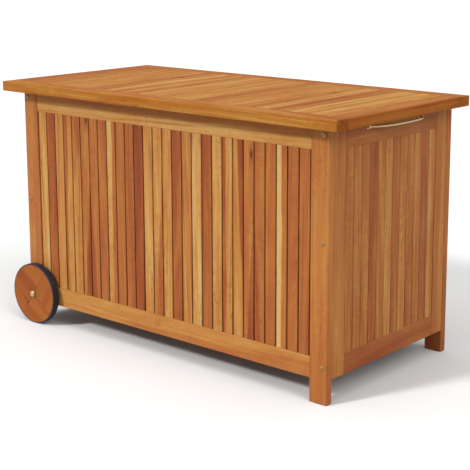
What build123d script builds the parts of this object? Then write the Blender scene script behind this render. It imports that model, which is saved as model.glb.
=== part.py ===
from build123d import *
import os

# Slatted hardwood deck storage box: a hinged lid, two wheels at one end and a bow handle at the other.
# Millimetres. The origin is on the ground, at the middle of the whole object's footprint. +X runs along
# the length from the wheels to the handle, +Y from the front to the back, +Z up. The lid is shut.

# ---- Driving dimensions ------------------------------------------------------------------------------
LENGTH = 1000.0  # lid, end to end
LID_DEPTH = 490.0  # lid, front to back
HEIGHT = 595.0  # ground to the top of the lid
LID_T = 23.0  # thickness of the lid
LID_GAP = 0.5  # play between the shut lid and the box

END_OVERHANG = 40.0  # lid past the legs at each end
FRONT_OVERHANG = 32.0  # lid past the front legs
BACK_OVERHANG = 4.0  # lid past the back legs: little, so that it can swing up

LEG_W, LEG_T = 45.0, 18.0  # leg boards: width along X, thickness along Y
RAIL_H = 46.0  # height of every rail of the four panels
RAIL_BOTTOM = 51.5  # ground to the underside of the bottom rails
WHEEL_LEG_BOTTOM = 40.0  # the legs at the wheel end are cut short, so that the box can tip and roll
STILE_W, STILE_T = 42.0, 18.0  # upright boards at both sides of an end panel
PANEL_STEP = 1.5  # front and back panels lie this far behind the legs' faces
END_STEP = 1.0  # end panels lie this far inside the legs' edges

SLAT_W, SLAT_T = 26.0, 12.0  # upright slats
SLAT_STEP = 0.5  # slats lie this far behind the rails' faces
TONGUE_T, TONGUE_L = 6.0, 8.0  # tongue on each slat's end
GROOVE_EXTRA = 0.2  # play of a tongue in its groove, each way
FRONT_SLATS, END_SLATS = 28, 12
DOWEL_R, DOWEL_L = 4.0, 40.0  # dowels between the legs and the front and back rails, half in each
DOWEL_INSET = 11.0  # dowel's middle line from the rail's plain edge
DOWEL_GROOVE_INSET = 13.5  # and from its grooved edge, clear of the tongues and of the axle

LID_RAIL_W = 42.0  # lid's front and back rails
LID_END_W = 45.0  # lid's end boards
LID_SLATS, LID_SLAT_T = 34, 14.0
BATTEN_W = 40.0  # stiffener under the lid's slats
BATTEN_SLATS = (3, 8, 13)  # slats that the batten is screwed to, counted from each end

AXLE_R = 4.0
AXLE_INSET = 35.0  # from the wheel end's outer face to the axle
WHEEL_R, WHEEL_T = 74.5, 18.0
TYRE_T = 3.0  # radial thickness of the rubber tyre
TYRE_ROUND = 1.2  # rounding of the tyre's edges
WHEEL_GAP = 4.0  # leg to wheel
BUSH_R = 8.0
BUSH_PLAY = 0.05  # radial play of the bush on the axle
SIDE_PLAY = 0.4  # bush to spacer and bush to washer
JOINT_ANGLE = 55.0  # one of the wheel's two joint lines, from +X towards +Z
WASHER_R, WASHER_T = 8.5, 1.2
CAP_R, CAP_H, CAP_DEEP = 7.0, 4.4, 3.0  # domed cap on each axle end
CAP_ROUND = 0.5  # rounding of the cap, as a share of its height

HANDLE_Z = 561.0
HANDLE_SPAN = 192.0  # between the two fixing screws
HANDLE_REACH = 30.0  # bow's middle line from the rail's face
HANDLE_ROD_R = 2.75
HANDLE_MID = 55.0  # half the length of the gently curved middle
HANDLE_DROP = 4.0  # that middle falls back by this much at its ends
BOSS_R, BOSS_L, BOSS_ROUND = 4.0, 7.0, 0.8
FLANGE_R, FLANGE_T = 6.0, 1.5

HINGE_X = 300.0  # middle of each hinge from the middle of the box
HINGE_W, LEAF_T, LEAF_D = 60.0, 2.0, 17.0
PIN_R, KNUCKLE_R = 1.6, 3.2
PIN_BEHIND = 0.5  # pin behind the back face of the box
KNUCKLES = 5
KNUCKLE_PLAY = 0.3
PIN_PLAY = 0.05  # radial play of the lid's knuckles on the pin
RECESS_PLAY, KNUCKLE_ROOM = 0.3, 0.6  # wood cut away round a leaf and round the knuckles
HINGE_SCREW_XS = (-21.0, 0.0, 21.0)  # from the middle of the leaf
HINGE_SCREW_IN, HINGE_SCREW_MID_IN = 10.2, 12.6  # from the pin: the outer two, and the middle one

SCREW_HEAD_R, SCREW_HEAD_H, SCREW_R = 4.6, 2.2, 2.2
SOCKET_R, SOCKET_DEEP = 1.7, 1.4
SMALL_HEAD_R, SMALL_HEAD_H, SMALL_R = 3.2, 1.2, 1.5
SINK_R, SINK_DEEP = 2.9, 1.5  # countersunk head of a hinge screw
HEAD_ROUND = 0.45  # rounding of a pan head, as a share of its height
LEG_SCREW_L, FLOOR_SCREW_L, BEARER_SCREW_L = 50.0, 26.0, 32.0
LEG_SCREW_IN = 12.5  # from a leg's outer edge
LEG_SCREW_LOW, LEG_SCREW_HIGH = 18.0, 14.0  # below the bottom rails' upper edge, and below the box's top
LEG_SCREW_MID = {-1: 306.0, 1: 340.0}  # height of the middle one at the wheel end and at the handle end
BATTEN_SCREW_L, HINGE_SCREW_L = 14.0, 12.0
HANDLE_SCREW_GRIP = 5.5  # how far a handle screw reaches into its boss

FLOOR_BOARDS, FLOOR_BOARD_W, FLOOR_BOARD_T = 12, 62.0, 12.0
FLOOR_END_PLAY = 1.0  # floor boards to the front and back panels
BEARER_H, BEARER_T = 20.0, 20.0
BEARER_PLAY = 0.5  # round the axle, where it passes through the bearers
BEARER_SCREW_XS = (-363.0, -145.0, 145.0, 363.0)
BEARER_SCREW_DOWN = 12.0  # from the bearers' tops
FLOOR_TOP = 92.0
PAST = 1.0  # how far a cut runs on past the face that it opens

# ---- Places worked out from them ---------------------------------------------------------------------
BODY_HALF = LENGTH / 2 - END_OVERHANG
BODY_DEPTH = LID_DEPTH - FRONT_OVERHANG - BACK_OVERHANG
CAP_REACH = WHEEL_GAP + WHEEL_T + SIDE_PLAY + WASHER_T + CAP_H  # leg's face to the cap's tip
LID_FRONT = -(LID_DEPTH + CAP_REACH - BACK_OVERHANG) / 2
LID_BACK = LID_FRONT + LID_DEPTH
FRONT = LID_FRONT + FRONT_OVERHANG  # front legs' faces
BACK = FRONT + BODY_DEPTH  # back legs' faces
MIDDLE = (FRONT + BACK) / 2
LID_UNDER = HEIGHT - LID_T
BODY_TOP = LID_UNDER - LID_GAP
RAIL_TOP = RAIL_BOTTOM + RAIL_H  # upper edge of the bottom rails
TOP_RAIL = BODY_TOP - RAIL_H  # lower edge of the top rails
LEG_IN = BODY_HALF - LEG_W
PANEL_IN = FRONT + LEG_T  # inner face of the front panel, flush with the legs
PANEL_IN_BACK = BACK - LEG_T
END_OUT = BODY_HALF - END_STEP
END_IN = END_OUT - STILE_T
STILE_FRONT = PANEL_IN + STILE_W
STILE_BACK = PANEL_IN_BACK - STILE_W
AXLE_X, AXLE_Z = -BODY_HALF + AXLE_INSET, WHEEL_R
PIN_Y, PIN_Z = BACK + PIN_BEHIND, LID_UNDER - LID_GAP / 2
LEG_SCREW_X = BODY_HALF - LEG_SCREW_IN
DOWEL_ZS = (
    RAIL_BOTTOM + DOWEL_INSET, RAIL_TOP - DOWEL_GROOVE_INSET,
    TOP_RAIL + DOWEL_GROOVE_INSET, BODY_TOP - DOWEL_INSET,
)
LID_INNER = (LID_FRONT + LID_RAIL_W, LID_BACK - LID_RAIL_W)  # between the lid's front and back rails
HANDLE_SCREW_L = STILE_T + HANDLE_SCREW_GRIP


def block(x, y, z):
    """A board between two corners, each given as a (low, high) pair along its axis."""
    size = [abs(pair[1] - pair[0]) for pair in (x, y, z)]
    middle = [(pair[0] + pair[1]) / 2 for pair in (x, y, z)]
    return Pos(*middle) * Box(*size)


def rod(start, direction, radius, length):
    """A round bar from a point along a direction."""
    return Plane(origin=start, z_dir=direction) * Cylinder(
        radius, length, align=(Align.CENTER, Align.CENTER, Align.MIN)
    )


def screw(start, direction, length, head_r=SCREW_HEAD_R, head_h=SCREW_HEAD_H, shank_r=SCREW_R):
    """A pan head screw with a round socket; start is on the face under its head, direction is inwards."""
    place = Plane(origin=start, z_dir=direction)
    up = (Align.CENTER, Align.CENTER, Align.MAX)
    head = place * Cylinder(head_r, head_h, align=up)
    outer = head.faces().sort_by(Axis(start, direction))[0]
    head = fillet(outer.edges(), head_h * HEAD_ROUND)
    socket = place * Pos(0, 0, -head_h + SOCKET_DEEP * head_h / SCREW_HEAD_H) * Cylinder(
        SOCKET_R * head_r / SCREW_HEAD_R, 2 * SOCKET_DEEP, align=up
    )
    return head - socket + rod(start, direction, shank_r, length)


def save(node, *solids):
    """Write one node's file from its solids."""
    shape = solids[0] if len(solids) == 1 else Compound(children=list(solids))
    export_step(shape, f"parts/{node}.step")


# ---- Fasteners: each is where its hole is ------------------------------------------------------------
def leg_screw_places():
    """Through the front and back legs into the edges of the end panels' stiles."""
    for face, inward in ((FRONT, 1), (BACK, -1)):
        for side in (-1, 1):
            for z in (RAIL_TOP - LEG_SCREW_LOW, LEG_SCREW_MID[side], BODY_TOP - LEG_SCREW_HIGH):
                yield (side * LEG_SCREW_X, face, z), (0, inward, 0)


def dowel_places():
    """Between the legs and the ends of the front and back rails, each starting inside its leg."""
    for y in (FRONT + (LEG_T + PANEL_STEP) / 2, BACK - (LEG_T + PANEL_STEP) / 2):
        for side in (-1, 1):
            for z in DOWEL_ZS:
                yield (side * (LEG_IN + DOWEL_L / 2), y, z), (-side, 0, 0)


def drilled(shape, places, length, radius=SCREW_R):
    """A board with the holes of those screws that reach it."""
    box = shape.bounding_box()
    for start, direction in places:
        end = [s + d * length for s, d in zip(start, direction)]
        low = [min(a, b) - radius for a, b in zip(start, end)]
        high = [max(a, b) + radius for a, b in zip(start, end)]
        if all(low[i] < tuple(box.max)[i] and high[i] > tuple(box.min)[i] for i in range(3)):
            shape = shape - rod(start, direction, radius, length)
    return shape


# ---- Legs --------------------------------------------------------------------------------------------
def leg(side, face, inward):
    """One leg board; those at the wheel end (side -1) are short and carry the axle."""
    bottom = WHEEL_LEG_BOTTOM if side < 0 else 0.0
    x = sorted((side * LEG_IN, side * BODY_HALF))
    shape = block(x, sorted((face, face + inward * LEG_T)), (bottom, BODY_TOP))
    if side < 0:
        shape -= rod((AXLE_X, FRONT - PAST, AXLE_Z), (0, 1, 0), AXLE_R, BODY_DEPTH + 2 * PAST)
    shape = drilled(shape, leg_screw_places(), LEG_SCREW_L)
    return drilled(shape, dowel_places(), DOWEL_L, DOWEL_R)


# ---- Front and back panels ---------------------------------------------------------------------------
def long_rail(face, inward, z, groove_up):
    """A front or back rail between the legs, with the slats' groove in one edge."""
    outer = face + inward * PANEL_STEP
    inner = face + inward * LEG_T
    shape = block((-LEG_IN, LEG_IN), sorted((outer, inner)), z)
    middle = outer + inward * (SLAT_STEP + SLAT_T / 2)
    half = TONGUE_T / 2 + GROOVE_EXTRA
    depth = TONGUE_L + GROOVE_EXTRA
    edge = (z[1] - depth, z[1] + PAST) if groove_up else (z[0] - PAST, z[0] + depth)
    shape -= block((-LEG_IN - PAST, LEG_IN + PAST), (middle - half, middle + half), edge)
    shape = drilled(shape, dowel_places(), DOWEL_L, DOWEL_R)
    return drilled(shape, bearer_screw_places(), BEARER_SCREW_L, SMALL_R)


def upright_slat(centre, thin_axis, thick):
    """One upright slat with a tongue at each end; centre is across its width, thick its two faces."""
    wide = (centre - SLAT_W / 2, centre + SLAT_W / 2)
    middle = (thick[0] + thick[1]) / 2
    tongue = (middle - TONGUE_T / 2, middle + TONGUE_T / 2)
    z = (RAIL_TOP, TOP_RAIL)
    z_tongue = (RAIL_TOP - TONGUE_L, TOP_RAIL + TONGUE_L)
    if thin_axis == "Y":
        return block(wide, thick, z) + block(wide, tongue, z_tongue)
    return block(thick, wide, z) + block(tongue, wide, z_tongue)


def slat_centres(low, high, count):
    """Middles of evenly spaced slats between two boards, with equal gaps all along."""
    gap = (high - low - count * SLAT_W) / (count + 1)
    return [low + gap + SLAT_W / 2 + i * (SLAT_W + gap) for i in range(count)]


def long_panel_slats(face, inward):
    near = face + inward * (PANEL_STEP + SLAT_STEP)
    thick = sorted((near, near + inward * SLAT_T))
    return [upright_slat(c, "Y", thick) for c in slat_centres(-LEG_IN, LEG_IN, FRONT_SLATS)]


# ---- End panels --------------------------------------------------------------------------------------
def stile(side, y):
    shape = block(sorted((side * END_IN, side * END_OUT)), y, (RAIL_BOTTOM, BODY_TOP))
    return drilled(shape, leg_screw_places(), LEG_SCREW_L)


def end_rail(side, z, groove_up):
    """A rail between the stiles of an end panel, with the slats' groove in one edge."""
    shape = block(sorted((side * END_IN, side * END_OUT)), (STILE_FRONT, STILE_BACK), z)
    middle = side * (END_OUT - SLAT_STEP - SLAT_T / 2)
    half = TONGUE_T / 2 + GROOVE_EXTRA
    depth = TONGUE_L + GROOVE_EXTRA
    edge = (z[1] - depth, z[1] + PAST) if groove_up else (z[0] - PAST, z[0] + depth)
    length = (STILE_FRONT - PAST, STILE_BACK + PAST)
    return shape - block((middle - half, middle + half), length, edge)


def end_panel_slats(side):
    outer = END_OUT - SLAT_STEP
    thick = sorted((side * outer, side * (outer - SLAT_T)))
    return [upright_slat(c, "X", thick) for c in slat_centres(STILE_FRONT, STILE_BACK, END_SLATS)]


# ---- Floor -------------------------------------------------------------------------------------------
def floor_bearer(face, inward):
    z = FLOOR_TOP - FLOOR_BOARD_T
    return block((-END_IN, END_IN), sorted((face, face + inward * BEARER_T)), (z - BEARER_H, z))


def floor_boards():
    gap = (2 * END_IN - FLOOR_BOARDS * FLOOR_BOARD_W) / (FLOOR_BOARDS + 1)
    low = FLOOR_TOP - FLOOR_BOARD_T
    for i in range(FLOOR_BOARDS):
        x = -END_IN + gap + i * (FLOOR_BOARD_W + gap)
        y = (PANEL_IN + FLOOR_END_PLAY, PANEL_IN_BACK - FLOOR_END_PLAY)
        yield block((x, x + FLOOR_BOARD_W), y, (low, FLOOR_TOP))


def floor_screw_places():
    gap = (2 * END_IN - FLOOR_BOARDS * FLOOR_BOARD_W) / (FLOOR_BOARDS + 1)
    for i in range(FLOOR_BOARDS):
        x = -END_IN + gap + i * (FLOOR_BOARD_W + gap) + FLOOR_BOARD_W / 2
        for y in (PANEL_IN + BEARER_T / 2, PANEL_IN_BACK - BEARER_T / 2):
            yield (x, y, FLOOR_TOP), (0, 0, -1)


def bearer_screw_places():
    """From inside, through the bearers, into the front and back bottom rails, clear of the floor screws."""
    for y, outward in ((PANEL_IN + BEARER_T, -1), (PANEL_IN_BACK - BEARER_T, 1)):
        for x in BEARER_SCREW_XS:
            yield (x, y, FLOOR_TOP - FLOOR_BOARD_T - BEARER_SCREW_DOWN), (0, outward, 0)


# ---- Wheels and axle ---------------------------------------------------------------------------------
def wheel_faces(outward):
    """Inner and outer face of the front (-1) or back (+1) wheel."""
    leg_face = FRONT if outward < 0 else BACK
    return leg_face + outward * WHEEL_GAP, leg_face + outward * (WHEEL_GAP + WHEEL_T)


def ring(outward, outer_r, inner_r):
    """A ring as wide as a wheel, about the axle."""
    low = min(wheel_faces(outward))
    outer = rod((AXLE_X, low, AXLE_Z), (0, 1, 0), outer_r, WHEEL_T)
    return outer - rod((AXLE_X, low - PAST, AXLE_Z), (0, 1, 0), inner_r, WHEEL_T + 2 * PAST)


def wheel_segment(outward, quarter):
    """One of the four quarters that the wooden wheel is glued up from."""
    disc = ring(outward, WHEEL_R - TYRE_T, BUSH_R)
    low = min(wheel_faces(outward))
    side = 2 * WHEEL_R
    corner = Pos(WHEEL_R, WHEEL_T / 2 + low, WHEEL_R) * Box(side, WHEEL_T + 2 * PAST, side)
    turn = Pos(AXLE_X, 0, AXLE_Z) * Rot(0, -(JOINT_ANGLE + 90 * quarter), 0)
    return disc & (turn * corner)


def tyre(outward):
    shape = ring(outward, WHEEL_R, WHEEL_R - TYRE_T)
    rims = [e for e in shape.edges().filter_by(GeomType.CIRCLE) if e.radius > WHEEL_R - TYRE_T / 2]
    return fillet(rims, TYRE_ROUND)


def bush(outward):
    return ring(outward, BUSH_R, AXLE_R + BUSH_PLAY)


def axle_rod():
    """Steel rod through both wheel-end legs, into the caps."""
    half = BODY_DEPTH / 2 + WHEEL_GAP + WHEEL_T + SIDE_PLAY + WASHER_T + CAP_DEEP
    return rod((AXLE_X, MIDDLE - half, AXLE_Z), (0, 1, 0), AXLE_R, 2 * half)


def axle_ring(start, outward, outer_r, length):
    """A spacer or washer on the axle."""
    outer = rod((AXLE_X, start, AXLE_Z), (0, outward, 0), outer_r, length)
    bore = rod((AXLE_X, start - outward * PAST, AXLE_Z), (0, outward, 0), AXLE_R, length + 2 * PAST)
    return outer - bore


def axle_cap(outward):
    """Domed cap pressed on the axle's end."""
    start = wheel_faces(outward)[1] + outward * (SIDE_PLAY + WASHER_T)
    direction = (0, outward, 0)
    shape = rod((AXLE_X, start, AXLE_Z), direction, CAP_R, CAP_H)
    tip = shape.faces().sort_by(Axis((AXLE_X, start, AXLE_Z), direction))[-1]
    shape = fillet(tip.edges(), CAP_H * CAP_ROUND)
    return shape - rod((AXLE_X, start - outward * PAST, AXLE_Z), direction, AXLE_R, CAP_DEEP + PAST)


# ---- Handle ------------------------------------------------------------------------------------------
def handle():
    """A bow of three tangent arcs in a level plane, on two bosses with flanges."""
    half = HANDLE_SPAN / 2
    shoulder = HANDLE_REACH - HANDLE_DROP

    def at(out, along):
        return Vector(END_OUT + out, MIDDLE + along, HANDLE_Z)

    middle = ThreePointArc(at(shoulder, -HANDLE_MID), at(HANDLE_REACH, 0), at(shoulder, HANDLE_MID))
    far = TangentArc(at(shoulder, HANDLE_MID), at(BOSS_L / 2, half), tangent=middle % 1)
    near = TangentArc(
        at(shoulder, -HANDLE_MID), at(BOSS_L / 2, -half), tangent=(middle % 0) * -1
    )
    shape = None
    for line in (middle, far, near):
        section = Plane(origin=line @ 0, z_dir=line % 0) * Circle(HANDLE_ROD_R)
        run = sweep(section, path=line)
        shape = run if shape is None else shape + run
    for sign in (-1, 1):
        foot = (END_OUT, MIDDLE + sign * half, HANDLE_Z)
        shape += rod(foot, (1, 0, 0), FLANGE_R, FLANGE_T)
        boss = rod(foot, (1, 0, 0), BOSS_R, BOSS_L)
        shape += fillet(boss.faces().sort_by(Axis.X)[-1].edges(), BOSS_ROUND)
    for start, direction in handle_screw_places():
        shape -= rod(start, direction, SCREW_R, HANDLE_SCREW_L)
    return shape


def handle_screw_places():
    """From inside the box, through the end panel's top rail, into the handle's bosses."""
    for sign in (-1, 1):
        yield (END_IN, MIDDLE + sign * HANDLE_SPAN / 2, HANDLE_Z), (1, 0, 0)


# ---- Lid ---------------------------------------------------------------------------------------------
def lid_rail(y, groove_at_back):
    """The lid's front or back rail, as long as the lid, with the slats' groove in its inner edge."""
    shape = block((-LENGTH / 2, LENGTH / 2), y, (LID_UNDER, HEIGHT))
    middle = HEIGHT - LID_SLAT_T / 2
    half = TONGUE_T / 2 + GROOVE_EXTRA
    depth = TONGUE_L + GROOVE_EXTRA
    edge = (y[1] - depth, y[1] + PAST) if groove_at_back else (y[0] - PAST, y[0] + depth)
    span = LENGTH / 2 - LID_END_W
    return shape - block((-span, span), edge, (middle - half, middle + half))


def lid_slats():
    span = LENGTH / 2 - LID_END_W
    middle = HEIGHT - LID_SLAT_T / 2
    for centre in slat_centres(-span, span, LID_SLATS):
        x = (centre - SLAT_W / 2, centre + SLAT_W / 2)
        body = block(x, LID_INNER, (HEIGHT - LID_SLAT_T, HEIGHT))
        tongue_y = (LID_INNER[0] - TONGUE_L, LID_INNER[1] + TONGUE_L)
        yield body + block(x, tongue_y, (middle - TONGUE_T / 2, middle + TONGUE_T / 2))


def batten():
    span = LENGTH / 2 - LID_END_W
    y = (MIDDLE - BATTEN_W / 2, MIDDLE + BATTEN_W / 2)
    return block((-span, span), y, (LID_UNDER, HEIGHT - LID_SLAT_T))


def batten_screw_places():
    centres = slat_centres(-LENGTH / 2 + LID_END_W, LENGTH / 2 - LID_END_W, LID_SLATS)
    for slat in BATTEN_SLATS:
        for x in (centres[slat], centres[-1 - slat]):
            yield (x, MIDDLE, LID_UNDER), (0, 0, 1)


# ---- Hinges ------------------------------------------------------------------------------------------
def hinge_leaf(middle_x, on_lid):
    """A leaf let into the wood, with its own knuckles of the five about the pin."""
    step = HINGE_W / KNUCKLES
    x = (middle_x - HINGE_W / 2, middle_x + HINGE_W / 2)
    rise = PIN_Z + (LID_GAP / 2 if on_lid else -LID_GAP / 2)
    z = (rise, rise + LEAF_T) if on_lid else (rise - LEAF_T, rise)
    shape = block(x, (PIN_Y - LEAF_D, PIN_Y), z)
    for i in range(KNUCKLES):
        low, high = x[0] + i * step, x[0] + (i + 1) * step
        mine = (i % 2 == 1) == on_lid
        if mine:
            start = low + (0 if i == 0 else KNUCKLE_PLAY / 2)
            end = high - (0 if i == KNUCKLES - 1 else KNUCKLE_PLAY / 2)
            shape += rod((start, PIN_Y, PIN_Z), (1, 0, 0), KNUCKLE_R, end - start)
        else:
            start, end = low - KNUCKLE_PLAY / 2, high + KNUCKLE_PLAY / 2
            shape -= rod((start, PIN_Y, PIN_Z), (1, 0, 0), KNUCKLE_R + KNUCKLE_PLAY, end - start)
    hole = PIN_R + (PIN_PLAY if on_lid else 0.0)
    shape -= rod((x[0] - PAST, PIN_Y, PIN_Z), (1, 0, 0), hole, HINGE_W + 2 * PAST)
    for start, direction in hinge_screw_places(middle_x, on_lid):
        shape -= hinge_screw(start, direction)
    return shape


def hinge_pin(middle_x):
    return rod((middle_x - HINGE_W / 2, PIN_Y, PIN_Z), (1, 0, 0), PIN_R, HINGE_W)


def hinge_recess(middle_x, on_lid):
    """Wood cut away for a leaf and for the knuckles."""
    x = (middle_x - HINGE_W / 2 - RECESS_PLAY, middle_x + HINGE_W / 2 + RECESS_PLAY)
    y = (PIN_Y - LEAF_D - RECESS_PLAY, LID_BACK + PAST)
    z = (LID_UNDER - PAST, LID_UNDER + LEAF_T) if on_lid else (BODY_TOP - LEAF_T, BODY_TOP + PAST)
    room = KNUCKLE_R + KNUCKLE_ROOM
    return block(x, y, z) + rod((x[0], PIN_Y, PIN_Z), (1, 0, 0), room, x[1] - x[0])


def hinge_screw_places(middle_x, on_lid):
    """Three screws a leaf, in a shallow triangle; each starts where the leaf meets the wood."""
    for dx in HINGE_SCREW_XS:
        y = PIN_Y - (HINGE_SCREW_IN if dx else HINGE_SCREW_MID_IN)
        if on_lid:
            yield (middle_x + dx, y, LID_UNDER + LEAF_T), (0, 0, 1)
        else:
            yield (middle_x + dx, y, BODY_TOP - LEAF_T), (0, 0, -1)


def hinge_screw(start, direction):
    """A countersunk screw, its head flush with the leaf's open face."""
    face = [s - d * LEAF_T for s, d in zip(start, direction)]
    head = Plane(origin=face, z_dir=direction) * Cone(
        SINK_R, SMALL_R, SINK_DEEP, align=(Align.CENTER, Align.CENTER, Align.MIN)
    )
    return head + rod(face, direction, SMALL_R, LEAF_T + HINGE_SCREW_L)


# ---- Everything, node by node ------------------------------------------------------------------------
os.makedirs("parts", exist_ok=True)

for name, face, inward in (("front", FRONT, 1), ("back", BACK, -1)):
    save(f"{name}_left_leg", leg(-1, face, inward))
    save(f"{name}_right_leg", leg(1, face, inward))
    top = long_rail(face, inward, (TOP_RAIL, BODY_TOP), groove_up=False)
    if name == "back":
        for middle_x in (-HINGE_X, HINGE_X):
            top -= hinge_recess(middle_x, on_lid=False)
            for start, direction in hinge_screw_places(middle_x, on_lid=False):
                top -= rod(start, direction, SMALL_R, HINGE_SCREW_L)
    save(f"{name}_top_rail", top)
    save(f"{name}_bottom_rail", long_rail(face, inward, (RAIL_BOTTOM, RAIL_TOP), groove_up=True))
    save(f"{name}_slats", *long_panel_slats(face, inward))

for name, side in (("left", -1), ("right", 1)):
    save(f"{name}_front_stile", stile(side, (PANEL_IN, STILE_FRONT)))
    save(f"{name}_back_stile", stile(side, (STILE_BACK, PANEL_IN_BACK)))
    top = end_rail(side, (TOP_RAIL, BODY_TOP), groove_up=False)
    if side > 0:
        for start, direction in handle_screw_places():
            top -= rod(start, direction, SCREW_R, HANDLE_SCREW_L)
    save(f"{name}_top_rail", top)
    save(f"{name}_bottom_rail", end_rail(side, (RAIL_BOTTOM, RAIL_TOP), groove_up=True))
    save(f"{name}_slats", *end_panel_slats(side))

for name, face, inward in (("front", PANEL_IN, 1), ("back", PANEL_IN_BACK, -1)):
    bearer = drilled(floor_bearer(face, inward), floor_screw_places(), FLOOR_SCREW_L, SMALL_R)
    bearer = drilled(bearer, bearer_screw_places(), BEARER_SCREW_L, SMALL_R)
    bearer -= rod((AXLE_X, FRONT, AXLE_Z), (0, 1, 0), AXLE_R + BEARER_PLAY, BODY_DEPTH)
    save(f"floor_bearer_{name}", bearer)
save(
    "floor_boards",
    *[drilled(board, floor_screw_places(), FLOOR_SCREW_L, SMALL_R) for board in floor_boards()],
)
save(
    "floor_screws",
    *[screw(p, d, FLOOR_SCREW_L, SMALL_HEAD_R, SMALL_HEAD_H, SMALL_R) for p, d in floor_screw_places()],
)
save(
    "bearer_screws",
    *[screw(p, d, BEARER_SCREW_L, SMALL_HEAD_R, SMALL_HEAD_H, SMALL_R) for p, d in bearer_screw_places()],
)
save("leg_screws", *[screw(p, d, LEG_SCREW_L) for p, d in leg_screw_places()])
save("rail_dowels", *[rod(p, d, DOWEL_R, DOWEL_L) for p, d in dowel_places()])

save("axle", axle_rod())
save("axle_caps", axle_cap(-1), axle_cap(1))
spacer_l = WHEEL_GAP - SIDE_PLAY
save("axle_spacers", axle_ring(FRONT, -1, WASHER_R, spacer_l), axle_ring(BACK, 1, WASHER_R, spacer_l))
save(
    "axle_washers",
    *[axle_ring(wheel_faces(o)[1] + o * SIDE_PLAY, o, WASHER_R, WASHER_T) for o in (-1, 1)],
)
for name, outward in (("front", -1), ("back", 1)):
    for quarter in range(4):
        save(f"{name}_wheel_segment_{quarter + 1}", wheel_segment(outward, quarter))
    save(f"{name}_tyre", tyre(outward))
    save(f"{name}_bush", bush(outward))

save("handle", handle())
save("handle_screws", *[screw(p, d, HANDLE_SCREW_L) for p, d in handle_screw_places()])

back_rail = lid_rail((LID_INNER[1], LID_BACK), groove_at_back=False)
for middle_x in (-HINGE_X, HINGE_X):
    back_rail -= hinge_recess(middle_x, on_lid=True)
    for start, direction in hinge_screw_places(middle_x, on_lid=True):
        back_rail -= rod(start, direction, SMALL_R, HINGE_SCREW_L)
save("lid_front_rail", lid_rail((LID_FRONT, LID_INNER[0]), groove_at_back=True))
save("lid_back_rail", back_rail)
for name, side in (("left", -1), ("right", 1)):
    x = sorted((side * (LENGTH / 2 - LID_END_W), side * LENGTH / 2))
    save(f"lid_{name}_end_board", block(x, LID_INNER, (LID_UNDER, HEIGHT)))
save("lid_slats", *[drilled(s, batten_screw_places(), BATTEN_SCREW_L, SMALL_R) for s in lid_slats()])
save("lid_batten", drilled(batten(), batten_screw_places(), BATTEN_SCREW_L, SMALL_R))
save(
    "lid_batten_screws",
    *[screw(p, d, BATTEN_SCREW_L, SMALL_HEAD_R, SMALL_HEAD_H, SMALL_R) for p, d in batten_screw_places()],
)

for name, middle_x in (("left", -HINGE_X), ("right", HINGE_X)):
    save(f"{name}_hinge_box_leaf", hinge_leaf(middle_x, on_lid=False))
    save(f"{name}_hinge_lid_leaf", hinge_leaf(middle_x, on_lid=True))
    save(f"{name}_hinge_pin", hinge_pin(middle_x))
for name, on_lid in (("box", False), ("lid", True)):
    places = [place for x in (-HINGE_X, HINGE_X) for place in hinge_screw_places(x, on_lid)]
    save(f"hinge_{name}_screws", *[hinge_screw(p, d) for p, d in places])
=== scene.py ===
import math
import random

import bmesh
import bpy
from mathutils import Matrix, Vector


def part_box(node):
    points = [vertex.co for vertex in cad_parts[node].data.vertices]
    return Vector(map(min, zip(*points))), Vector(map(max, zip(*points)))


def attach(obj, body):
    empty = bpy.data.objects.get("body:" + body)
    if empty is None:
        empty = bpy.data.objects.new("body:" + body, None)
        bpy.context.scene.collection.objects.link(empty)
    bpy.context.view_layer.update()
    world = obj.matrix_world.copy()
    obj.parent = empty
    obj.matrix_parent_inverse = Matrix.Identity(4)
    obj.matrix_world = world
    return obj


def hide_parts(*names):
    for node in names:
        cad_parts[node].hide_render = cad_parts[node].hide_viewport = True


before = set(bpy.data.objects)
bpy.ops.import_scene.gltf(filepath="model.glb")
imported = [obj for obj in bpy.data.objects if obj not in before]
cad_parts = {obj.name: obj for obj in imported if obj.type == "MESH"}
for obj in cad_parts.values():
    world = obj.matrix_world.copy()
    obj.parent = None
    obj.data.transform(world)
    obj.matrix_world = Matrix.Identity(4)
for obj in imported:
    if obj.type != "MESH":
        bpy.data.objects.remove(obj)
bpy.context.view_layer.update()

millimetre = 0.001


# ---- Studio --------------------------------------------------------------------------------------
# A plain pale floor in soft, even light: one lamp high on the left in front, a wide weaker one on
# the right that keeps the end panel from going dark, and one straight above. The sky is white near
# the horizon.
def tint(red, green, blue):
    """A colour as a paint card gives it, 0 to 255, turned into the light that a shader wants."""
    def light(value):
        value /= 255.0
        return value / 12.92 if value <= 0.04045 else ((value + 0.055) / 1.055) ** 2.4

    return light(red), light(green), light(blue), 1.0


def shader(name, **values):
    """A new material with its own Principled BSDF, whose plain values are set on its sockets."""
    material = bpy.data.materials.new(name)
    material.use_nodes = True
    principled = material.node_tree.nodes["Principled BSDF"]
    for socket, value in values.items():
        principled.inputs[socket.replace("_", " ")].default_value = value
    return material, material.node_tree, principled


scene = bpy.context.scene
scene.view_settings.view_transform = "Standard"

camera = bpy.data.objects.new("camera", bpy.data.cameras.new("camera"))
camera.data.lens = 94.5
camera.data.shift_x, camera.data.shift_y = -0.045, -0.120
camera.data.clip_end = 100.0
camera.location = (1.880, -2.128, 0.942)
looks_down, turned_left = 11.2, 40.17
camera.rotation_euler = (math.radians(90 - looks_down), 0, math.radians(turned_left))
scene.collection.objects.link(camera)
scene.camera = camera

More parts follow.
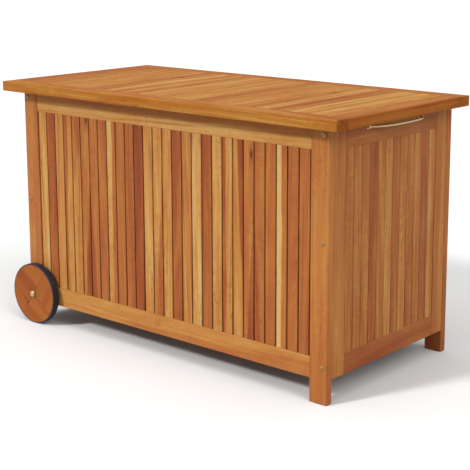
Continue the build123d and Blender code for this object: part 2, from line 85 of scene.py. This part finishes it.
floor_half = 40.0
floor_mesh = bpy.data.meshes.new("studio_floor")
floor_mesh.from_pydata(
    [(-floor_half, -floor_half, 0), (floor_half, -floor_half, 0),
     (floor_half, floor_half, 0), (-floor_half, floor_half, 0)], [], [(0, 1, 2, 3)]
)
studio_floor = bpy.data.objects.new("studio_floor", floor_mesh)
scene.collection.objects.link(studio_floor)
pale_floor, tree, principled = shader("pale_floor", Roughness=0.95, Specular_IOR_Level=0.1)
speckle = tree.nodes.new("ShaderNodeTexNoise")
speckle.inputs["Scale"].default_value = 1.5
pale = tree.nodes.new("ShaderNodeMix")
pale.data_type = "RGBA"
pale.inputs["A"].default_value = tint(184, 184, 184)
pale.inputs["B"].default_value = tint(188, 188, 187)
tree.links.new(speckle.outputs["Fac"], pale.inputs["Factor"])
tree.links.new(pale.outputs["Result"], principled.inputs["Base Color"])
floor_mesh.materials.append(pale_floor)

sky = bpy.data.worlds.new("sky")
scene.world = sky
sky.use_nodes = True
background = sky.node_tree.nodes["Background"]
background.inputs["Color"].default_value = (1.0, 1.0, 1.0, 1.0)
direction = sky.node_tree.nodes.new("ShaderNodeTexCoord")
upward = sky.node_tree.nodes.new("ShaderNodeSeparateXYZ")
haze = sky.node_tree.nodes.new("ShaderNodeMapRange")
haze.interpolation_type = "SMOOTHSTEP"
for socket, value in (("From Min", 0.24), ("From Max", 0.55), ("To Min", 1.0), ("To Max", 0.50)):
    haze.inputs[socket].default_value = value
sky.node_tree.links.new(direction.outputs["Generated"], upward.inputs["Vector"])
sky.node_tree.links.new(upward.outputs["Z"], haze.inputs["Value"])
sky.node_tree.links.new(haze.outputs["Result"], background.inputs["Strength"])

for lamp_name, bearing, height, softness, power in (
    ("key_lamp", -22.0, 37.0, 9.0, 3.5),
    ("side_lamp", 78.0, 40.0, 40.0, 1.95),
    ("sky_lamp", 0.0, 85.0, 60.0, 1.8),
):
    lamp_data = bpy.data.lights.new(lamp_name, "SUN")
    lamp_data.angle = math.radians(softness)
    lamp_data.energy = power
    lamp = bpy.data.objects.new(lamp_name, lamp_data)
    lamp.rotation_euler = (math.radians(90 - height), 0, math.radians(bearing))
    lamp.location = (0.0, 0.0, 4.0)
    scene.collection.objects.link(lamp)


# ---- Legs ----------------------------------------------------------------------------------------
# Four upright acacia boards, planed, with eased edges, oiled. The two at the wheel end are sawn
# short and carry the axle. Every other board of the box is the same timber, so its grain is
# described here.
class Board:
    """How one board was cut: its tone, a second tone past a slanting line, and perhaps a knot.

    Tones go from 0, pale sapwood, to 1, dark heartwood. The line is where
    lean * u + rise * v = where, with u across the board and v along it, both from -1 to 1.
    A knot is given as its (u, v).
    """

    def __init__(self, tone, second=None, lean=0.0, rise=0.0, where=2.0, knot=None):
        self.tone = tone
        self.second = tone if second is None else second
        self.lean, self.rise, self.where, self.knot = lean, rise, where, knot


cutting = random.Random(7)
weld = 0.002 * millimetre
no_knot = Vector((9.0, 9.0, 0.0))


def islands(bm):
    """The separate boards of a mesh, each as a list of its vertices."""
    left = set(bm.verts)
    found = []
    while left:
        board = [left.pop()]
        for vertex in board:
            for edge in vertex.link_edges:
                other = edge.other_vert(vertex)
                if other in left:
                    left.remove(other)
                    board.append(other)
        found.append(board)
    return found


def box_of(vertices):
    """Lowest and highest corner of some vertices."""
    low = Vector([min(v.co[i] for v in vertices) for i in range(3)])
    high = Vector([max(v.co[i] for v in vertices) for i in range(3)])
    return low, high


def timber(node, body, material, boards, ease=1.4 * millimetre, along=None):
    """The boards of one CAD piece with welded faces, eased edges and each board's own grain.

    Stored on the mesh for the wood's material: the place in the log (grain), the two tones and the
    side of the line between them (heart), the way to the knot (knot), and which faces are eased
    edges or end grain (surface).
    """
    bm = bmesh.new()
    bm.from_mesh(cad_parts[node].data)
    grain = bm.verts.layers.float_vector.new("grain")
    heartwood_and_shade_tone = bm.verts.layers.float_vector.new("heartwood_and_shade_tone")
    knot = bm.verts.layers.float_vector.new("knot")
    surface = bm.faces.layers.float_vector.new("surface")
    bmesh.ops.remove_doubles(bm, verts=bm.verts, dist=weld)
    bmesh.ops.dissolve_limit(bm, angle_limit=math.radians(0.5), verts=bm.verts, edges=bm.edges)

    # Only the long arrises that are near enough to square are eased.
    bluntest, sharpest = math.radians(70), math.radians(145)
    arrises = [
        e for e in bm.edges
        if e.is_manifold and e.is_convex and e.calc_length() > 5 * ease
        and bluntest < e.calc_face_angle(0.0) < sharpest
    ]
    eased = bmesh.ops.bevel(
        bm, geom=arrises, offset=ease, segments=2, profile=0.5, affect="EDGES", clamp_overlap=True
    )
    for face in bm.faces:
        face.smooth = False
    for face in eased["faces"]:
        face.smooth = True
        face[surface] = Vector((1.0, 0.0, 0.0))

    found = sorted(islands(bm), key=lambda board: sum(box_of(board), Vector())[:])
    for number, vertices in enumerate(found):
        low, high = box_of(vertices)
        size = high - low
        longest_first = sorted(range(3), key=lambda i: -size[i])
        long_way, wide_way, thin_way = along or [
            Vector([float(i == axis) for i in range(3)]) for axis in longest_first
        ]
        cut = boards[number % len(boards)]
        centre = (low + high) / 2
        half_long = max(abs((v.co - centre).dot(long_way)) for v in vertices)
        half_wide = max(abs((v.co - centre).dot(wide_way)) for v in vertices)
        start = cutting.uniform(2.0, 60.0)
        pith_across = cutting.uniform(-0.05, 0.05)
        pith_deep = cutting.choice((-1, 1)) * cutting.uniform(0.02, 0.07)
        drift = cutting.uniform(-0.035, 0.035)
        for vertex in vertices:
            offset = vertex.co - centre
            x, y, z = offset.dot(long_way), offset.dot(wide_way), offset.dot(thin_way)
            u, v = y / half_wide, x / half_long
            vertex[grain] = Vector((x + start, y + pith_across + drift * x, z + pith_deep))
            vertex[heartwood_and_shade_tone] = Vector((cut.tone, cut.second, cut.lean * u + cut.rise * v - cut.where))
            if cut.knot is None:
                vertex[knot] = no_knot
            else:
                knot_u, knot_v = cut.knot
                vertex[knot] = Vector((x - knot_v * half_long, y - knot_u * half_wide, 0.0))
        if along is None:
            inside = set(vertices)
            for face in bm.faces:
                if face.verts[0] in inside and abs(face.normal.dot(long_way)) > 0.8:
                    face[surface] = Vector((face[surface].x, 1.0, 0.0))

    mesh = bpy.data.meshes.new(node + "_boards")
    bm.to_mesh(mesh)
    bm.free()
    mesh.materials.append(material)
    piece = bpy.data.objects.new(node + "_boards", mesh)
    scene.collection.objects.link(piece)
    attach(piece, body)
    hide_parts(node)
    return piece


class Bench:
    """Places and wires nodes in one tree, so that a recipe reads from top to bottom."""

    def __init__(self, tree):
        self.tree = tree

    def put(self, kind, output=0, **inputs):
        """A node of this kind with its inputs set or linked; gives back one of its outputs."""
        node = self.tree.nodes.new("ShaderNode" + kind)
        settings = [name for name in inputs if name.startswith("set_")]
        for name in settings:
            setattr(node, name[len("set_"):], inputs.pop(name))
        for name, value in inputs.items():
            key = int(name[len("in_"):]) if name.startswith("in_") else name
            socket = node.inputs[key]
            if isinstance(value, bpy.types.NodeSocket):
                self.tree.links.new(value, socket)
            else:
                socket.default_value = value
        return node.outputs[output]

    def split(self, vector):
        """The three parts of a vector."""
        return self.put("SeparateXYZ", Vector=vector).node.outputs

    def stored(self, name):
        """A vector stored on the mesh under this name."""
        return self.put("Attribute", output=1, set_attribute_name=name)

    def sum(self, kind, first, second=0.0, third=0.0):
        """One step of arithmetic on plain values."""
        return self.put("Math", set_operation=kind, in_0=first, in_1=second, in_2=third)

    def noise(self, where, scale=1.0, detail=2.0, roughness=0.5, dimensions="3D"):
        return self.put(
            "TexNoise", set_noise_dimensions=dimensions, Vector=where,
            Scale=scale, Detail=detail, Roughness=roughness,
        )

    def stretch(self, where, x, y, z):
        return self.put("VectorMath", set_operation="MULTIPLY", in_0=where, in_1=(x, y, z))

    def between(self, value, low, high):
        """0 below low, 1 above high, and a soft step between them."""
        return self.put(
            "MapRange", set_interpolation_type="SMOOTHSTEP", Value=value,
            in_1=low, in_2=high, in_3=0.0, in_4=1.0,
        )

    def blend(self, factor, first, second, way="MIX"):
        return self.put(
            "Mix", output=2, set_data_type="RGBA", set_blend_type=way,
            in_0=factor, in_6=first, in_7=second,
        )


def acacia_group():
    """Acacia as a solid: rings about the pith, heartwood, figure, pores, knots and worn edges."""
    group = bpy.data.node_groups.new("acacia", "ShaderNodeTree")
    for name, value in (
        ("Tone Shift", 0.0), ("Figure", 0.5), ("Grain", 0.5), ("Wear", 0.5), ("Oil", 0.0),
    ):
        socket = group.interface.new_socket(name, in_out="INPUT", socket_type="NodeSocketFloat")
        socket.default_value = value
    for name, kind in (("Color", "Color"), ("Roughness", "Float"), ("Height", "Float")):
        group.interface.new_socket(name, in_out="OUTPUT", socket_type="NodeSocket" + kind)
    given = group.nodes.new("NodeGroupInput").outputs
    made = group.nodes.new("NodeGroupOutput").inputs
    b = Bench(group)

    grain = b.stored("grain")
    along, off_centre, deep = b.split(grain)
    tone, second_tone, beyond_line = b.split(b.stored("heartwood_and_shade_tone"))
    knot_along, knot_across = b.split(b.stored("knot"))[:2]
    arris, end_grain = b.split(b.stored("surface"))[:2]

    # The grain wanders a little, and bends round a knot.
    wander = b.noise(b.stretch(grain, 1.6, 16.0, 16.0), detail=2.0)
    knot_drawn_out = b.sum("MULTIPLY", b.sum("POWER", knot_along, 2.0), 0.10)
    knot_near = b.sum("SQRT", b.sum("ADD", knot_drawn_out, b.sum("POWER", knot_across, 2.0)))
    push = b.sum("DIVIDE", b.sum("MULTIPLY", knot_across, 0.0045), b.sum("ADD", knot_near, 0.0035))
    push = b.sum("MULTIPLY", push, b.sum("SUBTRACT", 1.0, b.between(knot_near, 0.008, 0.026)))
    across = b.sum("ADD", b.sum("MULTIPLY_ADD", wander, 0.014, off_centre), push)
    depth = b.sum("MULTIPLY_ADD", wander, 0.010, deep)
    ring = b.sum("SQRT", b.sum("ADD", b.sum("POWER", across, 2.0), b.sum("POWER", depth, 2.0)))

    # Broad figure, fine rings and pores, all following the rings.
    def on_rings(fine, run, start=0.0):
        """A flat place whose x counts rings out from the pith and whose y runs up the board."""
        x = b.sum("MULTIPLY_ADD", ring, fine, start)
        return b.put("CombineXYZ", X=x, Y=b.sum("MULTIPLY", along, run))

    figure = b.noise(on_rings(120.0, 2.2), detail=4.0, roughness=0.60, dimensions="2D")
    rings = b.noise(on_rings(520.0, 2.4), detail=2.0, dimensions="2D")
    pores = b.between(b.noise(b.stretch(grain, 55.0, 1500.0, 1500.0), detail=1.0), 0.60, 0.74)
    cloud = b.noise(b.stretch(grain, 9.0, 45.0, 45.0), detail=3.0, roughness=0.6)

    # A second tone begins along a ragged line: heartwood; on the front top rail, painted shade.
    def swing(noise):
        """Noise moved to lie about 0."""
        return b.sum("SUBTRACT", noise, 0.5)

    ragged = b.sum("MULTIPLY_ADD", b.noise(b.stretch(grain, 5.0, 70.0, 70.0)), 1.1, -0.55)
    past = b.between(b.sum("ADD", beyond_line, ragged), -0.16, 0.16)
    tone = b.put("Mix", set_data_type="FLOAT", in_0=past, in_2=tone, in_3=second_tone)
    tone = b.sum("ADD", tone, b.sum("MULTIPLY", swing(figure), given["Figure"]))
    tone = b.sum("MULTIPLY_ADD", swing(rings), b.sum("MULTIPLY", given["Grain"], 0.42), tone)
    tone = b.sum("MULTIPLY_ADD", swing(cloud), 0.34, tone)
    curl = b.noise(b.stretch(grain, 95.0, 32.0, 32.0), detail=2.0, roughness=0.6)
    curly = b.between(b.noise(b.stretch(grain, 3.0, 9.0, 9.0), detail=1.0), 0.50, 0.66)
    curl = b.sum("MULTIPLY", swing(curl), b.sum("MULTIPLY", curly, given["Figure"]))
    tone = b.sum("MULTIPLY_ADD", curl, 0.45, tone)
    tone = b.sum("ADD", tone, given["Tone Shift"])

    ramp = group.nodes.new("ShaderNodeValToRGB")
    stops = (
        (0.00, (166, 134, 84)), (0.16, (159, 119, 67)), (0.30, (150, 101, 48)),
        (0.44, (142, 86, 41)), (0.58, (133, 75, 36)), (0.74, (122, 61, 30)),
        (0.90, (108, 50, 26)), (1.00, (86, 38, 21)),
    )
    while len(ramp.color_ramp.elements) < len(stops):
        ramp.color_ramp.elements.new(0.5)
    for element, (place, colour) in zip(ramp.color_ramp.elements, stops):
        element.position = place
        element.color = tint(*colour)
    group.links.new(tone, ramp.inputs["Fac"])
    colour = ramp.outputs["Color"]

    # Dark mineral streaks, pores, and the knot itself.
    figured = b.sum("MULTIPLY", given["Figure"], 0.9)
    streak = b.noise(on_rings(140.0, 1.7, start=17.0), detail=2.0, dimensions="2D")
    streak = b.sum("MULTIPLY", b.between(streak, 0.66, 0.78), figured)
    colour = b.blend(streak, colour, tint(92, 42, 20))
    open_pores = b.sum("MULTIPLY", pores, b.sum("MULTIPLY", given["Grain"], 0.55))
    colour = b.blend(open_pores, colour, tint(86, 44, 20))
    fleck = b.noise(b.stretch(grain, 62.0, 190.0, 190.0), detail=3.0, roughness=0.65)
    flecked = b.between(b.noise(b.stretch(grain, 4.5, 38.0, 38.0), detail=1.0), 0.54, 0.68)
    fleck = b.sum("MULTIPLY", b.sum("MULTIPLY", b.between(fleck, 0.48, 0.68), flecked), figured)
    colour = b.blend(fleck, colour, tint(104, 48, 24))
    core = b.sum("SUBTRACT", 1.0, b.between(knot_near, 0.0012, 0.0042))
    halo = b.sum("MULTIPLY", b.sum("SUBTRACT", 1.0, b.between(knot_near, 0.002, 0.012)), 0.55)
    colour = b.blend(halo, colour, tint(112, 50, 24))
    colour = b.blend(b.sum("MULTIPLY", core, 0.9), colour, tint(50, 24, 15))

    # End grain drinks more oil and is darker. Arrises are worn pale in places.
    colour = b.blend(b.sum("MULTIPLY", end_grain, 0.30), colour, tint(98, 52, 26))
    rubbed = b.between(b.noise(b.stretch(grain, 14.0, 60.0, 60.0), detail=3.0), 0.38, 0.72)
    worn = b.sum("MULTIPLY", b.sum("MULTIPLY", rubbed, arris), given["Wear"])
    colour = b.blend(worn, colour, tint(172, 122, 68))
    colour = b.blend(given["Oil"], colour, tint(224, 210, 168), way="MULTIPLY")
    group.links.new(colour, made["Color"])

    rough = b.sum("MULTIPLY_ADD", cloud, 0.18, 0.44)
    rough = b.sum("MULTIPLY_ADD", pores, 0.16, rough)
    rough = b.sum("MULTIPLY_ADD", end_grain, 0.14, rough)
    group.links.new(b.sum("MULTIPLY_ADD", worn, 0.12, rough), made["Roughness"])
    height = b.sum("MULTIPLY_ADD", rings, 0.45, b.sum("MULTIPLY", figure, 0.35))
    height = b.sum("MULTIPLY_ADD", pores, -0.45, height)
    group.links.new(b.sum("MULTIPLY_ADD", core, -0.5, height), made["Height"])
    return group


acacia = acacia_group()


def oiled_acacia(name, shift, figure, grain, wear, oil=0.0, gloss=1.2):
    """Acacia with its own strength of figure and grain, darkened by oil that leaves it satin."""
    material, tree, principled = shader(name, IOR=gloss)
    wood = tree.nodes.new("ShaderNodeGroup")
    wood.node_tree = acacia
    for socket, value in (
        ("Tone Shift", shift), ("Figure", figure), ("Grain", grain), ("Wear", wear), ("Oil", oil),
    ):
        wood.inputs[socket].default_value = value
    bump = tree.nodes.new("ShaderNodeBump")
    bump.inputs["Strength"].default_value = 0.32
    bump.inputs["Distance"].default_value = 0.35 * millimetre
    tree.links.new(wood.outputs["Color"], principled.inputs["Base Color"])
    tree.links.new(wood.outputs["Roughness"], principled.inputs["Roughness"])
    tree.links.new(wood.outputs["Height"], bump.inputs["Height"])
    tree.links.new(bump.outputs["Normal"], principled.inputs["Normal"])
    return material


frame_acacia = oiled_acacia("frame_acacia", shift=0.0, figure=0.36, grain=0.5, wear=0.2, oil=0.10)
leg_ease = 2.4 * millimetre
for leg, cut in (
    ("front_left_leg", Board(0.42, 0.52, lean=1.0, where=0.4)),
    ("front_right_leg", Board(0.40, 0.48, rise=-1.0, where=0.6)),
    ("back_left_leg", Board(0.46)),
    ("back_right_leg", Board(0.50, 0.60, rise=-1.0, where=0.2)),
):
    timber(leg, "box", frame_acacia, [cut], ease=leg_ease)


# ---- Front and back rails ------------------------------------------------------------------------
# Long acacia boards on edge between the legs, a top and a bottom one in front and behind, held by
# two hidden dowels at each end. A groove in each takes the slats' tongues.
for rail, cut in (
    # Painted shade: the front top rail's darker second tone over its upper part, under the lid.
    ("front_top_rail", Board(0.24, 0.48, lean=1.0, rise=0.2, where=0.1)),
    ("front_bottom_rail", Board(0.30, 0.44, lean=-0.7, rise=0.6, where=0.4)),
    ("back_top_rail", Board(0.46)),
    ("back_bottom_rail", Board(0.42, 0.55, rise=0.8, where=0.3)),
):
    timber(rail, "box", frame_acacia, [cut])
timber("rail_dowels", "box", frame_acacia, [Board(0.3)], ease=0.5 * millimetre)


# ---- End panels' stiles and rails ----------------------------------------------------------------
# Acacia uprights stand against the legs, with a rail between them at the top and at the bottom.
# They are glued and screwed from the legs' faces.
for board, cut in (
    ("right_front_stile", Board(0.46, 0.40, rise=-1.0, where=0.2)),
    ("right_back_stile", Board(0.50, 0.40, lean=1.0, where=0.2)),
    ("right_top_rail", Board(0.50, 0.64, rise=1.0, where=0.65)),
    ("right_bottom_rail", Board(0.66, 0.58, rise=1.0, where=0.3)),
    ("left_front_stile", Board(0.44)),
    ("left_back_stile", Board(0.52)),
    ("left_top_rail", Board(0.40)),
    ("left_bottom_rail", Board(0.56)),
):
    timber(board, "box", frame_acacia, [cut])


# ---- Upright slats -------------------------------------------------------------------------------
# Thin acacia slats sawn from sapwood and heartwood alike, so each has its own colour. Their
# tongues stand in the rails' grooves, with narrow gaps between the slats for air.
slat_acacia = oiled_acacia("slat_acacia", shift=0.02, figure=0.62, grain=0.95, wear=0.2, oil=0.15)
front_cuts = [
    Board(0.20), Board(0.64, 0.56, rise=-1.0, where=0.2), Board(0.27),
    Board(0.26, 0.60, lean=-1.0, rise=0.3, where=0.35), Board(0.30, 0.62, rise=1.0, where=0.55),
    Board(0.40, 0.74, lean=1.0, rise=-1.2, where=0.75, knot=(0.5, 0.94)),
    Board(0.44, 0.72, lean=-1.0, rise=-1.2, where=0.75), Board(0.50, 0.56, rise=-1.0, where=0.1),
    Board(0.15, 0.50, lean=1.0, where=0.2), Board(0.50), Board(0.56), Board(0.76), Board(0.24),
    Board(0.30, 0.62, lean=1.0, rise=-0.9, where=0.5), Board(0.26),
    Board(0.54, 0.74, rise=0.8, lean=-0.6, where=0.1), Board(0.36), Board(0.14),
    Board(0.64, 0.56, rise=-1.0, where=0.5), Board(0.24),
    Board(0.28, 0.64, lean=-1.0, rise=0.3, where=0.4),
    Board(0.30, 0.64, lean=1.0, rise=0.8, where=0.6),
    Board(0.44, 0.72, lean=1.0, rise=-1.2, where=0.8, knot=(0.6, 0.84)),
    Board(0.46, 0.66, lean=-1.0, rise=-0.9, where=0.7), Board(0.47),
    Board(0.04, 0.50, lean=1.0, where=0.0), Board(0.54), Board(0.56),
]
end_cuts = [
    Board(0.48), Board(0.38), Board(0.40), Board(0.60), Board(0.40), Board(0.30),
    Board(0.52, 0.60, lean=-1.0, where=0.0), Board(0.38),
    Board(0.38, 0.52, rise=-1.0, lean=0.3, where=0.0), Board(0.36), Board(0.56),
    Board(0.22, 0.38, lean=1.0, where=0.2),
]
slat_ease = 0.9 * millimetre
timber("front_slats", "box", slat_acacia, front_cuts, ease=slat_ease)
timber("right_slats", "box", slat_acacia, end_cuts, ease=slat_ease)
timber("back_slats", "box", slat_acacia, front_cuts[::-1], ease=slat_ease)
timber("left_slats", "box", slat_acacia, end_cuts[5:] + end_cuts[:5], ease=slat_ease)


# ---- Floor ---------------------------------------------------------------------------------------
# Plain planed acacia boards laid across two square bearers and screwed down, with gaps that let
# water out. The bearers are screwed to the bottom rails.
floor_acacia = oiled_acacia("floor_acacia", shift=0.02, figure=0.30, grain=0.7, wear=0.15)
floor_cuts = [
    Board(0.40), Board(0.30), Board(0.55), Board(0.24, 0.5, lean=1.0, where=0.1), Board(0.46),
]
timber("floor_boards", "box", floor_acacia, floor_cuts)
for bearer in ("floor_bearer_front", "floor_bearer_back"):
    timber(bearer, "box", floor_acacia, [Board(0.5)])


# ---- Lid -----------------------------------------------------------------------------------------
# A flat hinged panel of acacia: a rail along the front and the back, an end board at each side,
# and slats laid from front to back between them, so close that they read as one surface. One
# batten under the middle stiffens it.
lid_acacia = oiled_acacia(
    "lid_acacia", shift=-0.04, figure=0.50, grain=1.0, wear=0.25, oil=0.75, gloss=1.08
)
lid_cuts = [
    Board(0.42), Board(0.44), Board(0.40), Board(0.26, 0.40, lean=1.0, where=0.2), Board(0.34),
    Board(0.32), Board(0.38, 0.26, lean=-1.0, where=0.2), Board(0.30),
    Board(0.46, knot=(0.2, 0.42)), Board(0.38), Board(0.22), Board(0.42),
    Board(0.24, 0.44, lean=1.0, where=0.3), Board(0.42), Board(0.24), Board(0.30), Board(0.34),
    Board(0.30), Board(0.22, 0.36, lean=-1.0, where=0.0), Board(0.22), Board(0.42),
    Board(0.46, 0.34, lean=1.0, where=0.0), Board(0.32), Board(0.34), Board(0.30), Board(0.36),
    Board(0.46, 0.32, lean=1.0, where=0.2, knot=(-0.3, 0.42)), Board(0.20), Board(0.50),
    Board(0.46, 0.36, rise=-1.0, where=0.2), Board(0.16), Board(0.22, 0.40, lean=1.0, where=0.4),
    Board(0.20), Board(0.30),
]
timber("lid_slats", "lid", lid_acacia, lid_cuts, ease=0.5 * millimetre)
for board, cut in (
    ("lid_front_rail", Board(0.38, 0.58, rise=1.0, lean=0.3, where=0.85)),
    ("lid_back_rail", Board(0.48)),
    ("lid_left_end_board", Board(0.54)),
    ("lid_right_end_board", Board(0.44, 0.52, lean=1.0, where=0.4)),
    ("lid_batten", Board(0.46)),
):
    timber(board, "lid", lid_acacia, [cut], ease=1.2 * millimetre)


# ---- Wheels --------------------------------------------------------------------------------------
# Each wheel is glued up from four quarters of reddish acacia, sawn round and oiled, with a black
# rubber band stretched on its rim and a nylon bush in the middle. Both turn on one steel rod.
wheel_acacia = oiled_acacia(
    "wheel_acacia", shift=0.06, figure=0.50, grain=0.6, wear=0.2, oil=0.5, gloss=1.15
)
joint_angle = math.radians(55)
quarters = (
    (Board(0.52, 0.68, lean=1.0, where=0.1), 1),
    (Board(0.50, 0.60, lean=-1.0, where=0.0, knot=(0.1, -0.7)), 1),
    (Board(0.44, 0.56, lean=1.0, where=0.2), 1),
    (Board(0.54, 0.48, lean=1.0, where=0.0), 0),
)
for wheel in ("front_wheel", "back_wheel"):
    for number, (cut, quarter_turns) in enumerate(quarters, 1):
        angle = joint_angle + quarter_turns * math.pi / 2
        grain_way = Vector((math.cos(angle), 0, math.sin(angle)))
        side_way = Vector((-math.sin(angle), 0, math.cos(angle)))
        timber(
            f"{wheel}_segment_{number}", wheel, wheel_acacia, [cut],
            ease=0.6 * millimetre, along=(grain_way, side_way, Vector((0, 1, 0))),
        )


def turned(name, profile, centre, way, steps):
    """A part made on a lathe: a closed profile of (radius, distance along way), spun round way."""
    bm = bmesh.new()
    way = Vector(way)
    first = way.orthogonal().normalized()
    second = way.cross(first)
    rows = []
    for i in range(steps):
        angle = 2 * math.pi * i / steps
        out = first * math.cos(angle) + second * math.sin(angle)
        rows.append([bm.verts.new(centre + way * far + out * radius) for radius, far in profile])
    for i, row in enumerate(rows):
        after = rows[(i + 1) % steps]
        for j in range(len(profile)):
            k = (j + 1) % len(profile)
            bm.faces.new((row[j], row[k], after[k], after[j])).smooth = True
    bmesh.ops.recalc_face_normals(bm, faces=bm.faces)
    mesh = bpy.data.meshes.new(name)
    bm.to_mesh(mesh)
    bm.free()
    piece = bpy.data.objects.new(name, mesh)
    scene.collection.objects.link(piece)
    return piece


rubber, tree, principled = shader("tyre_rubber", IOR=1.4)
b = Bench(tree)
here = b.put("TexCoord", output=3)
scuff = b.noise(here, scale=55.0, detail=5.0, roughness=0.65)
dust = b.between(b.noise(here, scale=14.0, detail=4.0), 0.46, 0.72)
black = b.blend(b.sum("MULTIPLY", dust, 0.30), tint(19, 20, 26), tint(54, 55, 60))
tree.links.new(black, principled.inputs["Base Color"])
tree.links.new(b.sum("MULTIPLY_ADD", scuff, 0.22, 0.42), principled.inputs["Roughness"])
moulded = b.put("Bump", Strength=0.25, Distance=0.2 * millimetre, Height=scuff)
tree.links.new(moulded, principled.inputs["Normal"])

for side in ("front", "back"):
    wheel = side + "_wheel"
    low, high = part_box(side + "_tyre")
    centre = (low + high) / 2
    outer = (high.x - low.x) / 2
    half = (high.y - low.y) / 2
    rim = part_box(wheel + "_segment_1")[1].z - centre.z
    crown, corner = 0.35 * millimetre, 1.3 * millimetre
    corner_steps, crown_steps = 6, 8
    corner_out, corner_far = outer - crown - corner, half - corner

    profile = [(rim, -half), (rim, half)]
    for i in range(corner_steps + 1):
        angle = math.pi / 2 * (1 - i / corner_steps)
        across_tread = corner_far + corner * math.sin(angle)
        profile.append((corner_out + corner * math.cos(angle), across_tread))
    for i in range(1, crown_steps):
        across_tread = corner_far * (1 - 2 * i / crown_steps)
        profile.append((outer - crown * (across_tread / half) ** 2, across_tread))
    for i in range(corner_steps + 1):
        angle = -math.pi / 2 * i / corner_steps
        across_tread = -corner_far + corner * math.sin(angle)
        profile.append((corner_out + corner * math.cos(angle), across_tread))

    tyre = turned(wheel + "_rubber_band", profile, centre, (0, 1, 0), steps=144)
    tyre.data.materials.append(rubber)
    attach(tyre, wheel)
    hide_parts(side + "_tyre")


# ---- Bushes, spacers, axle, washers and caps -----------------------------------------------------
# The bushes and the spacers against the legs are natural nylon. The rod and the washers are
# zinc-plated steel, and a pale brass cap is pressed on each end of the rod.
def metal(name, low, high, roughness, brushed, fleck):
    """Plated or polished metal: fine brushing, cloudy tone, a few dull flecks."""
    material, tree, principled = shader(name, Metallic=1.0)
    b = Bench(tree)
    here = b.put("TexCoord", output=3)
    cloudy = b.noise(here, scale=90.0, detail=4.0, roughness=0.6)
    lines = b.noise(b.stretch(here, *brushed), detail=2.0)
    mottled = b.sum("MULTIPLY_ADD", lines, 0.5, b.sum("MULTIPLY", cloudy, 0.5))
    colour = b.blend(mottled, tint(*low), tint(*high))
    flecks = b.between(b.noise(here, scale=260.0, detail=2.0), 0.62, 0.72)
    colour = b.blend(b.sum("MULTIPLY", flecks, fleck), colour, tint(96, 84, 66))
    tree.links.new(colour, principled.inputs["Base Color"])
    tree.links.new(b.sum("MULTIPLY_ADD", cloudy, 0.18, roughness), principled.inputs["Roughness"])
    bump = b.put("Bump", Strength=0.12, Distance=0.1 * millimetre, Height=lines)
    tree.links.new(bump, principled.inputs["Normal"])
    return material


def finish(node, material):
    """Gives a CAD piece its finish and leaves its shape alone."""
    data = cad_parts[node].data
    data.materials.clear()
    data.materials.append(material)


zinc = metal(
    "zinc_plate", (118, 108, 92), (166, 156, 138),
    roughness=0.42, brushed=(900.0, 60.0, 900.0), fleck=0.35,
)
brass = metal(
    "satin_brass", (168, 142, 94), (206, 184, 136),
    roughness=0.34, brushed=(500.0, 120.0, 500.0), fleck=0.25,
)

nylon, tree, principled = shader("nylon", IOR=1.53)
b = Bench(tree)
milky = b.noise(b.put("TexCoord", output=3), scale=120.0, detail=3.0)
moulded = b.put("Bump", Strength=0.15, Distance=0.1 * millimetre, Height=milky)
off_white = b.blend(milky, tint(216, 213, 204), tint(232, 229, 221))
tree.links.new(off_white, principled.inputs["Base Color"])
tree.links.new(b.sum("MULTIPLY_ADD", milky, 0.2, 0.42), principled.inputs["Roughness"])
tree.links.new(moulded, principled.inputs["Normal"])

for node, material in (
    ("front_bush", nylon), ("back_bush", nylon), ("axle_spacers", nylon),
    ("axle", zinc), ("axle_washers", zinc), ("axle_caps", brass),
):
    finish(node, material)


# ---- Handle --------------------------------------------------------------------------------------
# A bow of round bar on two small flanged bosses, cast in pale brass and satin finished. Two screws
# hold it from inside the end panel's top rail, just under the lid's overhang.
finish("handle", brass)


# ---- Screws --------------------------------------------------------------------------------------
# Yellow zinc-plated pan heads with a socket hold the legs, floor, batten and handle. The hinges
# have small countersunk ones, plain zinc like their leaves.
yellow_zinc = metal(
    "yellow_zinc_plate", (128, 96, 62), (186, 146, 100),
    roughness=0.44, brushed=(600.0, 600.0, 600.0), fleck=0.25,
)
for node, material in (
    ("leg_screws", yellow_zinc), ("floor_screws", yellow_zinc), ("bearer_screws", yellow_zinc),
    ("handle_screws", yellow_zinc), ("lid_batten_screws", yellow_zinc),
    ("hinge_box_screws", zinc), ("hinge_lid_screws", zinc),
):
    finish(node, material)


# ---- Hinges --------------------------------------------------------------------------------------
# Two zinc-plated butt hinges let into the box's back rail and the lid's back rail, each of two
# leaves with interleaved knuckles on a pin.
for side in ("left", "right"):
    for piece in ("box_leaf", "lid_leaf", "pin"):
        finish(f"{side}_hinge_{piece}", zinc)
